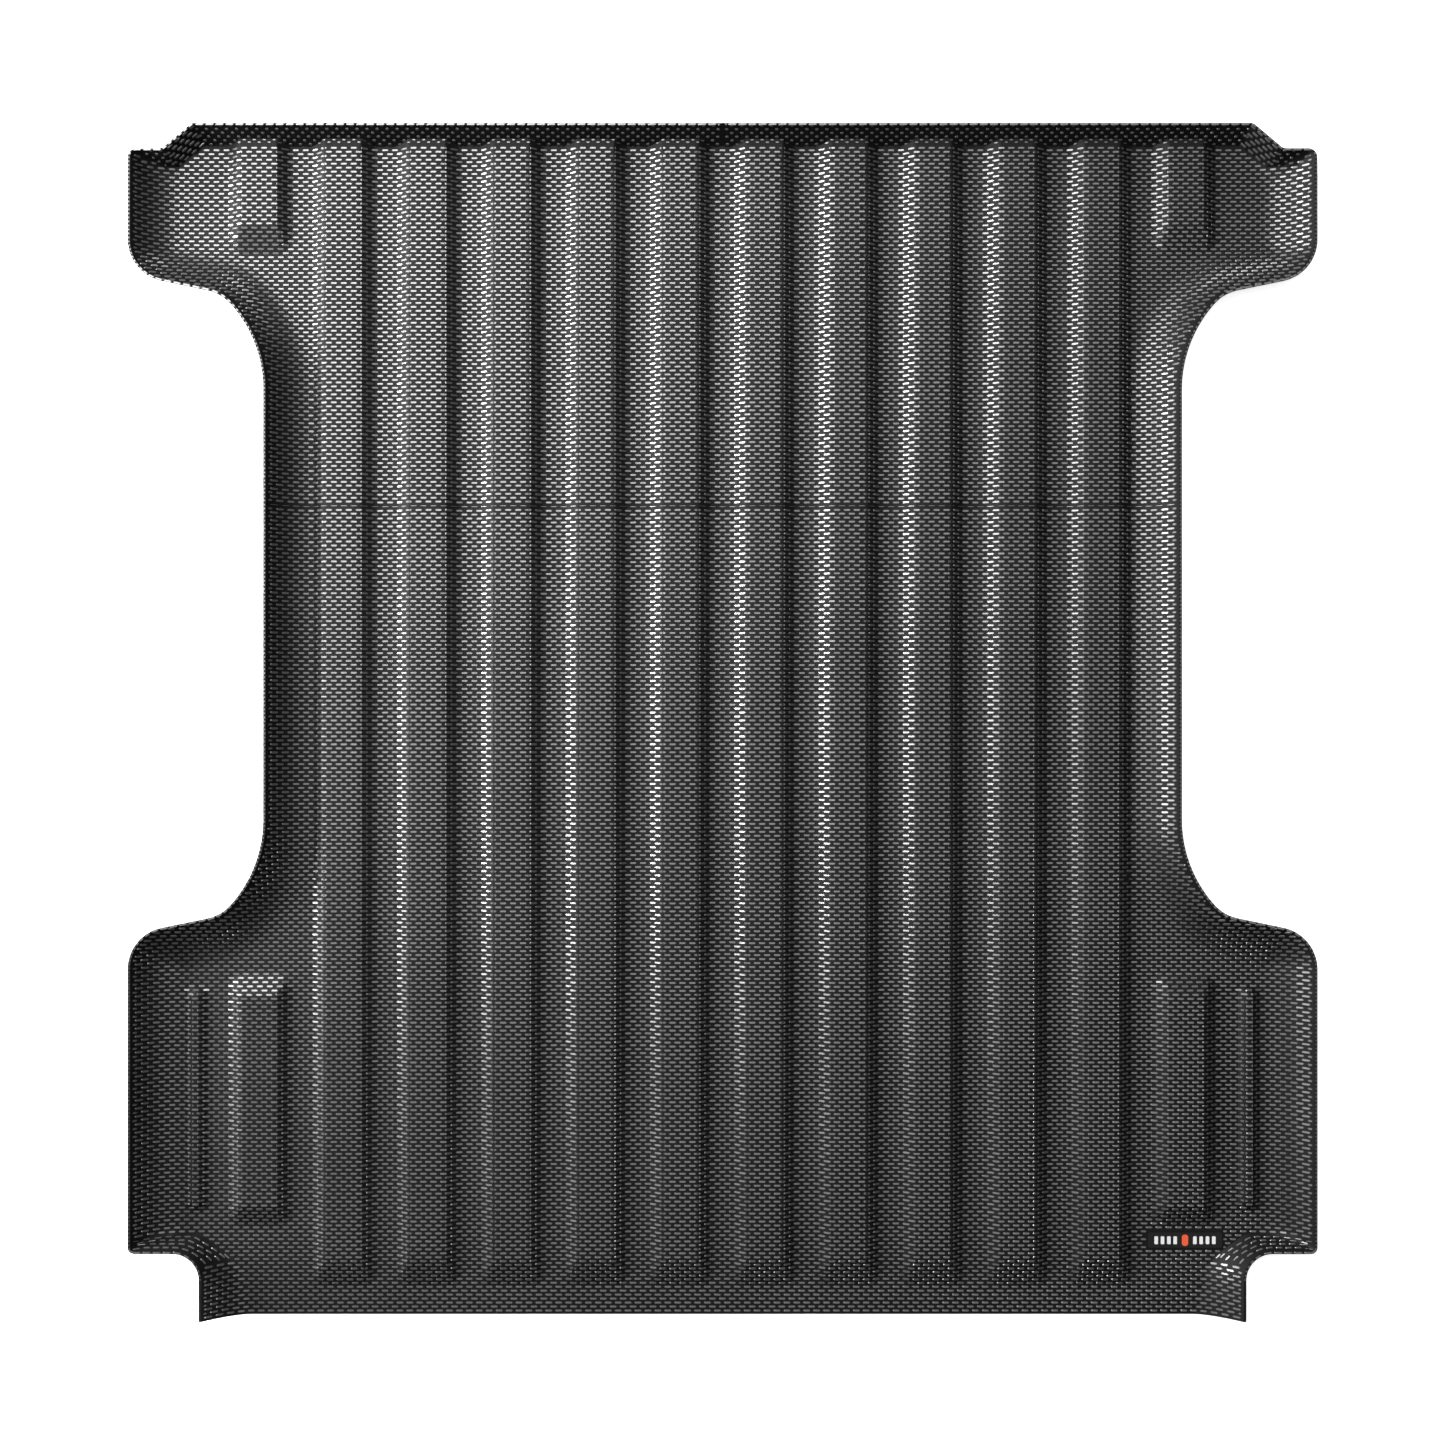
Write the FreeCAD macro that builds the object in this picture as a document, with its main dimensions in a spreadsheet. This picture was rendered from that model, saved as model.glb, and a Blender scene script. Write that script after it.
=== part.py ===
"""Truck bed liner: one formed sheet tray with a small bonded badge.

The tray is the sheet left between two forms.  The top form is everything under the sheet's
upper face, the under form is everything under its lower face, and both come from the same
functions, one sheet thickness apart.  Only the right half is built, then mirrored.

Frame: millimetres, +Z up, +Y to the cab, +X to the right seen from above with the cab ahead.
The origin is on the truck bed's floor, under the middle of the tray.
"""
import FreeCAD, Part
import math
import os
import Sketcher

Vector = FreeCAD.Vector

SIZES = [
    # the sheet and the outline at the rim
    ("overall_length", 1685.0), ("overall_width", 1672.0), ("rim_height", 42.5),
    ("sheet_thickness", 3.5), ("waist_width", 1291.0), ("tail_width", 1472.0),
    # front wall, its two chamfers and steps
    ("nose_width", 1492.0), ("chamfer_run", 42.0), ("step_depth", 35.5), ("front_wall_run", 17.0),
    # side walls and wheelhouses
    ("side_cove_radius", 76.0), ("wheelhouse_middle", 166.0), ("wheelhouse_length", 928.0),
    ("wheelhouse_slant", 11.7), ("wheelhouse_corner_radius", 128.0),
    # rear pocket wall, notch for the tail pillar and the flare at the tail
    ("notch_depth", 95.5), ("notch_radius", 37.0), ("notch_wall_run", 27.0),
    ("notch_base_inset", 19.0), ("notch_base_radius", 160.0), ("tail_flare_run", 66.0),
    # ribs and beads
    ("rib_pitch", 119.7), ("rib_columns", 12.0), ("rib_width", 86.0), ("rib_height", 12.0),
    ("rib_flank_run", 16.7), ("rib_end_run", 37.0), ("pocket_rib_end_run", 28.0),
    ("rib_foot_radius", 28.0), ("rib_crest_radius", 16.0), ("rib_tail_gap", 41.5),
    ("waist_rib_gap", 95.0), ("tail_rib_gap", 150.0), ("front_rib_gap", 37.0),
    ("rear_rib_gap", 61.0), ("rib_wall_gap", 6.0), ("bead_side_gap", 87.0), ("bead_width", 29.0), ("bead_height", 8.0),
    ("bead_flank_run", 9.0), ("bead_foot_radius", 12.0), ("bead_crest_radius", 3.5), ("bead_end_inset", 18.5),
    # badge, its seat and its inlays
    ("badge_tail_gap", 105.5), ("badge_length", 106.0), ("badge_depth", 22.0),
    ("badge_thickness", 2.4), ("badge_corner_radius", 3.0),
    ("seat_depth", 0.8), ("seat_clearance", 0.4), ("film_thickness", 0.3), ("film_inset", 1.0),
    ("inlay_depth", 1.2), ("inlay_stand", 0.3), ("bars_each_side", 4.0), ("bar_start", 14.0),
    ("bar_pitch", 9.0), ("bar_width", 5.0), ("bar_length", 11.0), ("bar_corner_radius", 1.0),
    ("accent_width", 9.0), ("accent_length", 16.0), ("accent_corner_radius", 4.0),
]

# how near two places are to count as the same one, in mm, and the smallest change that shows a
# cut took something away, in mm3
SAME_PLACE = 0.01
LEAST_CUT = 1.0
# an edge shorter than this is a leftover of a loft or fillet, in mm
SHORTEST_EDGE = 1.0
# an edge that climbs spreads sideways at most this many times its height
UPRIGHT_SPREAD = 20

DERIVED = [
    # vertical wall plane that a cove would be tangent to, measured outwards from the rim
    ("cove_under", "sizes.side_cove_radius + sizes.sheet_thickness"),
    ("setback", "derived.cove_under - sqrt(2 * derived.cove_under * sizes.rim_height"
                " - sizes.rim_height ^ 2)"),
    ("side_wall", "sizes.overall_width / 2 + derived.setback"),
    ("waist_wall", "sizes.waist_width / 2 + derived.setback"),
    ("draw_height", "derived.cove_under + sizes.rim_height"),
    ("reach", "sizes.overall_length + sizes.overall_width"),
    ("slant_rise", "tan(sizes.wheelhouse_slant)"),
    ("slant_gap", "1 / cos(sizes.wheelhouse_slant)"),
    # front wall
    ("wall_rise", "sizes.rim_height - sizes.sheet_thickness"),
    ("front_slope", "sizes.front_wall_run / derived.wall_rise"),
    ("front_cut", "sizes.sheet_thickness * sqrt(1 + derived.front_slope ^ 2)"),
    ("chamfer_shift", "sizes.step_depth / (sqrt(sizes.chamfer_run ^ 2 + sizes.step_depth ^ 2)"
                      " + sizes.chamfer_run)"),
    # tail corner: horizontal cut through the sheet at the tail, at the notch and behind it
    ("flare_cut", "sizes.sheet_thickness * sqrt(1 + (sizes.tail_flare_run / derived.wall_rise) ^ 2)"),
    ("notch_cut", "sizes.sheet_thickness * sqrt(1 + (sizes.notch_wall_run / derived.wall_rise) ^ 2)"),
    # how much narrower a hollow under a rib or bead is than its crest
    ("rib_shrink", "sizes.sheet_thickness * tan(atan(sizes.rib_height / sizes.rib_flank_run) / 2)"),
    ("bead_shrink", "sizes.sheet_thickness * tan(atan(sizes.bead_height / sizes.bead_flank_run) / 2)"),
    # rib columns on one side that run the whole length, inside the wheelhouse and with room for
    # the badge beside them at the tail; the wheelhouse interrupts the others
    ("full_reach", "min(sizes.waist_width / 2 - sizes.waist_rib_gap;"
                   " sizes.tail_width / 2 - sizes.tail_rib_gap)"),
    ("full_columns", "floor(derived.full_reach / sizes.rib_pitch + 0.5)"),
    ("badge_column", "(derived.full_columns + 0.5) * sizes.rib_pitch"),
]


def fill_sheets(doc):
    """Put the driving sizes in a sheet and the values worked out from them in a variable set."""
    sheet = doc.addObject("Spreadsheet::Sheet", "sizes")
    for row, (name, value) in enumerate(SIZES, start=1):
        sheet.set("A%d" % row, name)
        sheet.set("B%d" % row, str(value))
        sheet.setAlias("B%d" % row, name)
    doc.recompute()
    derived = doc.addObject("App::VarSet", "derived")
    for name, formula in DERIVED:
        derived.addProperty("App::PropertyFloat", name)
        derived.setExpression(name, formula)
        doc.recompute()
    return sheet


def new_body(doc, name):
    body = doc.addObject("PartDesign::Body", name)
    body.Label = name
    return body


def new_sketch(body, name, role="XY_Plane", height="0"):
    """A sketch on one of the body's own origin planes, moved along the plane's normal."""
    sketch = body.newObject("Sketcher::SketchObject", name)
    plane = [item for item in body.Origin.OriginFeatures if item.Role == role][0]
    sketch.AttachmentSupport = [(plane, "")]
    sketch.MapMode = "FlatFace"
    sketch.setExpression("AttachmentOffset.Base.z", height)
    return sketch


def number(sketch, formula):
    """The present value of a formula, for a sketch's first positions."""
    value = sketch.evalExpression(formula)
    return float(getattr(value, "Value", value))


def place_point(element, end, point, formulas, name):
    """Named distances from the origin to a point of the sketch, with their formulas."""
    rows = []
    for kind, axis, value, formula in zip(("DistanceX", "DistanceY"), "xy", (point.x, point.y), formulas):
        rows.append((Sketcher.Constraint(kind, -1, 1, element, end, value), name + axis, formula))
    return rows


def add_constraints(sketch, rows):
    """Add rows of constraint, name and formula, the last two empty on a plain constraint."""
    places = sketch.addConstraint([row[0] for row in rows])
    for place, (constraint, name, formula) in zip(places, rows):
        if name:
            sketch.renameConstraint(place, name)
            sketch.setExpression("Constraints." + name, formula)


def round_off(before, corner, after, radius):
    """Where an arc of this radius leaves the two sides of a corner, and its centre."""
    inward = (before - corner).normalize()
    onward = (after - corner).normalize()
    half = inward.getAngle(onward) / 2
    reach = radius / math.tan(half)
    centre = corner + (inward + onward).normalize() * (radius / math.sin(half))
    return corner + inward * reach, corner + onward * reach, centre


def draw_arc(sketch, centre, start, end):
    """An arc the short way round from start to end; says whether that is clockwise."""
    radius = (start - centre).Length
    first, last = (math.atan2(point.y - centre.y, point.x - centre.x) for point in (start, end))
    clockwise = (last - first) % (2 * math.pi) > math.pi
    if clockwise:
        first, last = last, first
    last = first + (last - first) % (2 * math.pi)
    circle = Part.Circle(centre, Vector(0, 0, 1), radius)
    return sketch.addGeometry(Part.ArcOfCircle(circle, first, last), False), clockwise


def draw_outline(sketch, corners):
    """A closed outline whose corners are formulas for x, y and, where it is rounded, a radius."""
    first_line = sketch.GeometryCount
    points = [Vector(number(sketch, corner[0]), number(sketch, corner[1]), 0) for corner in corners]
    count = len(points)
    starts = list(points)
    ends = list(points)
    centres = {}
    for index, corner in enumerate(corners):
        if len(corner) == 3:
            before, after = points[index - 1], points[(index + 1) % count]
            ends[index], starts[index], centres[index] = round_off(
                before, points[index], after, number(sketch, corner[2]))
    for index in range(count):
        sketch.addGeometry(Part.LineSegment(starts[index], ends[(index + 1) % count]), False)
    rows = []
    for index, corner in enumerate(corners):
        line_in, line_out = first_line + (index - 1) % count, first_line + index
        name = "corner_%d_" % (line_out + 1)
        if index not in centres:
            rows.append((Sketcher.Constraint("Coincident", line_in, 2, line_out, 1), "", ""))
            rows += place_point(line_out, 1, points[index], corner, name)
            continue
        arc, clockwise = draw_arc(sketch, centres[index], ends[index], starts[index])
        apex = sketch.addGeometry(Part.Point(points[index]), True)
        rows += place_point(apex, 1, points[index], corner[:2], name)
        arc_in, arc_out = (2, 1) if clockwise else (1, 2)
        rows.append((Sketcher.Constraint("PointOnObject", apex, 1, line_in), "", ""))
        rows.append((Sketcher.Constraint("PointOnObject", apex, 1, line_out), "", ""))
        rows.append((Sketcher.Constraint("Tangent", line_in, 2, arc, arc_in), "", ""))
        rows.append((Sketcher.Constraint("Tangent", line_out, 1, arc, arc_out), "", ""))
        radius = Sketcher.Constraint("Radius", arc, number(sketch, corner[2]))
        rows.append((radius, name + "radius", corner[2]))
    add_constraints(sketch, rows)


def rectangle(left, right, rear, front):
    return [(left, rear), (right, rear), (right, front), (left, front)]


def pad(doc, body, name, corners, bottom, height):
    """A straight pad of a polygon, from one height upwards."""
    sketch = new_sketch(body, name + "_plan", height=bottom)
    draw_outline(sketch, corners)
    feature = body.newObject("PartDesign::Pad", name)
    feature.Profile = sketch
    feature.setExpression("Length", height)
    doc.recompute()
    return feature


def loft(doc, body, name, low_corners, low_height, high_corners, high_height):
    """A ruled loft between two polygons with as many corners each."""
    low = new_sketch(body, name + "_foot", height=low_height)
    draw_outline(low, low_corners)
    high = new_sketch(body, name + "_crest", height=high_height)
    draw_outline(high, high_corners)
    feature = body.newObject("PartDesign::AdditiveLoft", name)
    feature.Profile = low
    feature.Sections = [high]
    feature.Ruled = True
    doc.recompute()
    return feature


def fillet(doc, body, base, name, radius, wanted):
    """Round every edge of the base that the test accepts."""
    names = ["Edge%d" % place for place, edge in enumerate(base.Shape.Edges, start=1) if wanted(edge)]
    if not names:
        raise ValueError("no edge for " + name)
    feature = body.newObject("PartDesign::Fillet", name)
    feature.Base = (base, names)
    feature.setExpression("Radius", radius)
    doc.recompute()
    return feature


def is_upright(edge):
    """An edge that climbs from one level to another."""
    box = edge.BoundBox
    return box.ZLength > SHORTEST_EDGE and box.XLength + box.YLength < UPRIGHT_SPREAD * box.ZLength


def side_bank(doc, form, lift):
    """Slab and coved side wall, one section along the whole length."""
    body = new_body(doc, form + "_sides")
    wall = "derived.side_wall - %s" % lift
    corners = [("0", "-derived.draw_height"), ("derived.reach", "-derived.draw_height"),
               ("derived.reach", "derived.draw_height"), (wall, "derived.draw_height"),
               (wall, lift), ("0", lift)]
    sketch = new_sketch(body, form + "_section", "XZ_Plane")
    draw_outline(sketch, corners)
    bank = body.newObject("PartDesign::Pad", form + "_bank")
    bank.Profile = sketch
    bank.Midplane = True
    bank.setExpression("Length", "derived.reach")
    doc.recompute()
    wall_at = number(sketch, wall)
    floor_at = number(sketch, lift)

    def at_foot(edge):
        middle = edge.CenterOfMass
        return edge.BoundBox.YLength > SHORTEST_EDGE and abs(middle.x - wall_at) < SAME_PLACE \
            and abs(middle.z - floor_at) < SAME_PLACE

    fillet(doc, body, bank, form + "_side_cove", "derived.cove_under - " + lift, at_foot)
    return body


def wheelhouse_bank(doc, form, lift):
    """The bulge over the wheelhouse: rounded corners in plan and a cove at its foot."""
    body = new_body(doc, form + "_wheelhouse")
    reach = "derived.reach"
    slab = pad(doc, body, form + "_slab", rectangle("0", reach, "-" + reach, reach),
               "-derived.draw_height", "derived.draw_height + " + lift)
    wall = "derived.waist_wall - %s" % lift
    # half of the bulge's length at the waist and where its slanted ends are cut off outside
    growth = "(%s - derived.setback) * derived.slant_gap" % lift
    at_side = "sizes.wheelhouse_length / 2 + " + growth
    waist_half = "%s - (sizes.overall_width / 2 - (%s)) * derived.slant_rise" % (at_side, wall)
    far_half = "%s + (derived.reach - sizes.overall_width / 2) * derived.slant_rise" % at_side
    middle = "sizes.wheelhouse_middle"
    corners = [(wall, "%s - (%s)" % (middle, waist_half)), (reach, "%s - (%s)" % (middle, far_half)),
               (reach, "%s + (%s)" % (middle, far_half)), (wall, "%s + (%s)" % (middle, waist_half))]
    bulge = pad(doc, body, form + "_bulge", corners, "0", "derived.draw_height")
    sketch = bulge.Profile[0]
    wall_at = number(sketch, wall)
    floor_at = number(sketch, lift)
    rounded = fillet(doc, body, bulge, form + "_bulge_corners",
                     "sizes.wheelhouse_corner_radius - derived.setback + " + lift,
                     lambda edge: is_upright(edge) and abs(edge.CenterOfMass.x - wall_at) < SAME_PLACE)
    far_at = number(sketch, reach)

    def at_foot(edge):
        box = edge.BoundBox
        on_floor = box.ZLength < SAME_PLACE and abs(edge.CenterOfMass.z - floor_at) < SAME_PLACE
        return on_floor and box.XMin > wall_at - SAME_PLACE and edge.CenterOfMass.x < far_at - SHORTEST_EDGE

    fillet(doc, body, rounded, form + "_bulge_cove", "derived.cove_under - " + lift, at_foot)
    return body


def tail_bank(doc, form, lift, side_cut, notch_cut):
    """Wall behind the rear pocket, round the pillar notch and out to the tail, where it flares."""
    body = new_body(doc, form + "_tail")
    reach = "derived.reach"
    tail = "-sizes.overall_length / 2"
    notch = tail + " + sizes.notch_depth"
    rim_side = "sizes.tail_width / 2"
    high = [(rim_side + " - " + side_cut, tail),
            (rim_side + " - " + notch_cut, notch + " + " + notch_cut, "sizes.notch_radius + " + notch_cut),
            (reach, notch + " + " + notch_cut), (reach, tail)]
    low = [(rim_side + " - sizes.tail_flare_run", tail),
           (rim_side + " - sizes.notch_base_inset", notch + " + sizes.notch_wall_run",
            "sizes.notch_base_radius"),
           (reach, notch + " + sizes.notch_wall_run"), (reach, tail)]
    loft(doc, body, form + "_notch", low, lift, high, "sizes.rim_height")
    return body


def front_outline(forward, sideways):
    """Everything ahead of the front wall, its chamfer and its step, shifted by the wall's slope."""
    front = "sizes.overall_length / 2 - (%s)" % forward
    step = front + " - sizes.step_depth"
    nose = "sizes.nose_width / 2 - (%s)" % sideways
    reach = "derived.reach"
    return [("-" + reach, front), (nose, front), (nose + " + sizes.chamfer_run", step), (reach, step),
            (reach, reach), ("-" + reach, reach)]


def front_bank(doc, form, lift, rim_cut):
    """The steep front wall with its chamfer and step."""
    body = new_body(doc, form + "_front")
    foot_cut = "%s + derived.front_slope * (sizes.rim_height - %s)" % (rim_cut, lift)
    high = front_outline(rim_cut, "(%s) * derived.chamfer_shift" % rim_cut)
    low = front_outline(foot_cut, "(%s) * derived.chamfer_shift" % foot_cut)
    loft(doc, body, form + "_front_wall", low, lift, high, "sizes.rim_height")
    return body


def swage(doc, form, name, kind, centre, rear, front, end_run, lift, shrink, closed_front):
    """One raised rib or bead: a loft from its foot to its crest."""
    body = new_body(doc, "%s_%s" % (form, name))
    half = "sizes.%s_width / 2 - %s" % (kind, shrink)
    outlines = []
    levels = (("foot", "0", "0", front[0]), ("crest", "sizes.%s_flank_run" % kind, end_run, front[1]))
    for level, in_flank, in_end, ahead in levels:
        radius = "sizes.%s_%s_radius" % (kind, level)
        left = "%s - (%s - %s)" % (centre, half, in_flank)
        right = "%s + (%s - %s)" % (centre, half, in_flank)
        back = "%s + %s + %s" % (rear, shrink, in_end)
        lead = "%s - %s - %s" % (ahead, shrink, in_end) if closed_front else ahead
        rounding = (radius,) if closed_front else ()
        outlines.append([(left, back, radius), (right, back, radius), (right, lead) + rounding,
                         (left, lead) + rounding])
    loft(doc, body, "%s_%s_loft" % (form, name), outlines[0], lift, outlines[1],
         "%s + sizes.%s_height" % (lift, kind))
    return body


def swages(doc, form, lift, rib_shrink, bead_shrink):
    """All the ribs and beads of one form, column by column from the middle outwards."""
    at_wall = "sizes.overall_length / 2"
    fronts = (at_wall, at_wall)
    if form == "under":
        slant = at_wall + " - derived.front_cut - derived.front_slope * (sizes.rim_height - %s)"
        fronts = (slant % "0", slant % "sizes.rib_height")
    tail = "-sizes.overall_length / 2"
    half_bulge = "sizes.wheelhouse_length / 2"
    tail_end = tail + " + sizes.rib_tail_gap"
    rear_wall = tail + " + sizes.notch_depth + sizes.notch_wall_run + sizes.rib_wall_gap"
    behind_bulge = "sizes.wheelhouse_middle - %s - sizes.rear_rib_gap" % half_bulge
    ahead_of_bulge = "sizes.wheelhouse_middle + %s + sizes.front_rib_gap" % half_bulge
    long_end, short_end = "sizes.rib_end_run", "sizes.pocket_rib_end_run"
    bodies = []
    for column in range(int(doc.sizes.rib_columns / 2)):
        centre = "sizes.rib_pitch * %.1f" % (column + 0.5)
        if column < doc.derived.full_columns:
            bodies.append(swage(doc, form, "rib_%d" % (column + 1), "rib", centre, tail_end, fronts,
                                long_end, lift, rib_shrink, False))
            continue
        bodies.append(swage(doc, form, "front_pocket_rib_%d" % (column + 1), "rib", centre,
                            ahead_of_bulge, fronts, long_end, lift, rib_shrink, False))
        bodies.append(swage(doc, form, "rear_pocket_rib_%d" % (column + 1), "rib", centre, rear_wall,
                            (behind_bulge, behind_bulge), short_end, lift, rib_shrink, True))
    bead_front = behind_bulge + " - sizes.bead_end_inset"
    bodies.append(swage(doc, form, "bead", "bead", "sizes.overall_width / 2 - sizes.bead_side_gap",
                        rear_wall + " + sizes.bead_end_inset", (bead_front, bead_front),
                        "sizes.bead_flank_run", lift, bead_shrink, True))
    return bodies


def combine(doc, kind, name, pieces):
    """A boolean of several shapes."""
    result = doc.addObject(kind, name)
    if kind == "Part::Cut":
        result.Base, result.Tool = pieces
    else:
        result.Shapes = pieces
    result.Refine = False
    doc.recompute()
    return result


def formed_tray(doc):
    """The whole formed sheet, before the badge's seat."""
    cuts = {"under": ("0", "0", "0", "0"),
            "top": ("sizes.sheet_thickness", "derived.flare_cut", "derived.notch_cut", "derived.front_cut")}
    forms = {}
    for form, (lift, side_cut, notch_cut, front_cut) in cuts.items():
        shrinks = ("derived.rib_shrink", "derived.bead_shrink") if form == "under" else ("0", "0")
        bodies = [side_bank(doc, form, lift), wheelhouse_bank(doc, form, lift),
                  tail_bank(doc, form, lift, side_cut, notch_cut), front_bank(doc, form, lift, front_cut)]
        bodies += swages(doc, form, lift, *shrinks)
        forms[form] = combine(doc, "Part::MultiFuse", form + "_form", bodies)
    block = doc.addObject("Part::Box", "right_half_block")
    for side, formula in (("Length", "sizes.overall_width / 2"), ("Width", "sizes.overall_length"),
                          ("Height", "sizes.rim_height")):
        block.setExpression(side, formula)
    block.setExpression("Placement.Base.y", "-sizes.overall_length / 2")
    filled = combine(doc, "Part::MultiCommon", "filled_half", [block, forms["top"]])
    half = combine(doc, "Part::Cut", "right_half", [filled, forms["under"]])
    mirrored = doc.addObject("Part::Mirroring", "left_half")
    mirrored.Source = half
    mirrored.Normal = Vector(1, 0, 0)
    doc.recompute()
    return combine(doc, "Part::MultiFuse", "formed_sheet", [half, mirrored])


def badge_outline(margin, width="sizes.badge_length", depth="sizes.badge_depth", across="0",
                  radius="sizes.badge_corner_radius"):
    """A rounded rectangle about the badge's middle, grown by a margin on every side."""
    middle_x = "derived.badge_column + %s" % across
    middle_y = "-sizes.overall_length / 2 + sizes.badge_tail_gap"
    half_x = "(%s / 2 + %s)" % (width, margin)
    half_y = "(%s / 2 + %s)" % (depth, margin)
    rounding = "%s + %s" % (radius, margin)
    left, right = "%s - %s" % (middle_x, half_x), "%s + %s" % (middle_x, half_x)
    rear, front = "%s - %s" % (middle_y, half_y), "%s + %s" % (middle_y, half_y)
    return [(x, y, rounding) for x, y in rectangle(left, right, rear, front)]


def bar_outlines(doc):
    """The pale bars, the same number each side of the accent."""
    outlines = []
    for side in ("-", "+"):
        for place in range(int(doc.sizes.bars_each_side)):
            across = "0 %s (sizes.bar_start + %d * sizes.bar_pitch)" % (side, place)
            outlines.append(badge_outline("0", "sizes.bar_width", "sizes.bar_length", across,
                                          "sizes.bar_corner_radius"))
    return outlines


def accent_outline():
    return badge_outline("0", "sizes.accent_width", "sizes.accent_length", "0",
                         "sizes.accent_corner_radius")


def slab_of(doc, name, outlines, bottom, height):
    """A body with one flat pad of one or more outlines."""
    body = new_body(doc, name)
    sketch = new_sketch(body, name + "_plan", height=bottom)
    for outline in outlines:
        draw_outline(sketch, outline)
    feature = body.newObject("PartDesign::Pad", name + "_pad")
    feature.Profile = sketch
    feature.setExpression("Length", height)
    doc.recompute()
    return body


def badge(doc):
    """The bonded badge: film, plate with its inlay pockets, bars and accent."""
    film_bottom = "sizes.sheet_thickness - sizes.seat_depth"
    plate_bottom = film_bottom + " + sizes.film_thickness"
    plate_top = plate_bottom + " + sizes.badge_thickness"
    inlay_bottom = plate_top + " - sizes.inlay_depth"
    film = slab_of(doc, "badge_adhesive_film", [badge_outline("-sizes.film_inset")], film_bottom,
                   "sizes.film_thickness")
    plate = slab_of(doc, "badge_plate", [badge_outline("0")], plate_bottom, "sizes.badge_thickness")
    pocket_plan = new_sketch(plate, "inlay_pocket_plan", height=plate_top)
    for outline in bar_outlines(doc) + [accent_outline()]:
        draw_outline(pocket_plan, outline)
    before = plate.Shape.Volume
    pocket = plate.newObject("PartDesign::Pocket", "inlay_pockets")
    pocket.Profile = pocket_plan
    pocket.setExpression("Length", "sizes.inlay_depth")
    doc.recompute()
    if plate.Shape.Volume > before - LEAST_CUT:
        raise ValueError("the inlay pockets cut nothing")
    inlay = "sizes.inlay_depth + sizes.inlay_stand"
    bars = slab_of(doc, "badge_pale_bars", bar_outlines(doc), inlay_bottom, inlay)
    accent = slab_of(doc, "badge_accent", [accent_outline()], inlay_bottom, inlay)
    return [film, plate, bars, accent]


def build(doc):
    fill_sheets(doc)
    sheet = formed_tray(doc)
    seat = slab_of(doc, "badge_seat", [badge_outline("sizes.seat_clearance")],
                   "sizes.sheet_thickness - sizes.seat_depth", "sizes.rim_height")
    tray = combine(doc, "Part::Cut", "liner_tray", [sheet, seat])
    return [tray] + badge(doc)


def check(doc, nodes):
    """Stop at any feature that failed and at any part without a sound solid."""
    for item in doc.Objects:
        if "Invalid" in item.State or "Error" in item.State:
            raise ValueError("failed feature: " + item.Name)
    for node in nodes:
        if node.Shape.isNull() or not node.Shape.isValid() or not node.Shape.Solids:
            raise ValueError("no sound shape: " + node.Label)


def main():
    doc = FreeCAD.newDocument("bed_liner")
    nodes = build(doc)
    check(doc, nodes)
    os.makedirs("parts", exist_ok=True)
    for node in nodes:
        node.Shape.exportStep("parts/%s.step" % node.Label)
        box = node.Shape.optimalBoundingBox()
        print("%-20s solids %d  volume %.1f cm3  %.1f x %.1f x %.1f mm" % (
            node.Label, len(node.Shape.Solids), node.Shape.Volume / 1000, box.XLength, box.YLength,
            box.ZLength))


main()
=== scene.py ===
"""Looks of a truck bed liner: a formed black tray with rows of moulded grip dashes and a small badge.

Lengths in this script are millimetres until a mesh is made.  The tray's sheet is worked out on its
plan: a point of the plan has a place on the upper face and one on the lower face, and both faces
share one triangulation, so the cut edge joins them.  The right half is built and then mirrored.
"""
import math
import bmesh
import bpy
import numpy as np
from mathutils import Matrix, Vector
from mathutils.geometry import delaunay_2d_cdt


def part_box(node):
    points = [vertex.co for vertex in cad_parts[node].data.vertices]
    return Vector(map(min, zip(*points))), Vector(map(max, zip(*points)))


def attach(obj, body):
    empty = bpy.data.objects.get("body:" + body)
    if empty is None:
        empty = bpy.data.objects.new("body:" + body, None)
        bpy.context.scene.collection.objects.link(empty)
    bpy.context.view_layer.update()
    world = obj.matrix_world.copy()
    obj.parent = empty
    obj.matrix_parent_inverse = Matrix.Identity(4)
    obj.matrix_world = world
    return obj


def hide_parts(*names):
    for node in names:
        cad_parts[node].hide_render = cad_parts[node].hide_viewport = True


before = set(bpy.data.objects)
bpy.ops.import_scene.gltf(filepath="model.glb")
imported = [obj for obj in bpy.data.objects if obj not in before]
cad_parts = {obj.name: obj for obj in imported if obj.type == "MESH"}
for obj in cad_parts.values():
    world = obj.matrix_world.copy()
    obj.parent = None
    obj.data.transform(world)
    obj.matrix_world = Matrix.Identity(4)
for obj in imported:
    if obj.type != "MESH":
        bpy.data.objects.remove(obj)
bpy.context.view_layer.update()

MM = 0.001
TRAY_HIGH = np.array(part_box("liner_tray")[1]) / MM
HALF_WIDTH, HALF_LENGTH, RIM = (float(value) for value in TRAY_HIGH)
BADGE_LOW, BADGE_HIGH = (np.array(corner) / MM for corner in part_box("badge_plate"))
BADGE_MIDDLE = (BADGE_LOW + BADGE_HIGH)[:2] / 2
BADGE_HALF = (BADGE_HIGH - BADGE_LOW)[:2] / 2

# sheet: its thickness, how far the upper face stands inside the lower one at the rim, and how high
# it climbs from floor to rim
SHEET = 3.5
LIP = 3.8
WALL = RIM - SHEET
# the badge's seat, sunk into the upper face
SEAT_GAP = 0.4
SEAT_DEPTH = 0.8
SEAT_DRAFT = 0.3
# outline at the front: a nose, a chamfer on each side of it and a step
NOSE_HALF = 746.0
NOSE_RADIUS = 8.0
CHAMFER_RUN = 42.0
CHAMFER_RADIUS = 10.0
STEP = 35.5
STEP_Y = HALF_LENGTH - STEP
FRONT_CORNER_RADIUS = 13.0
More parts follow.
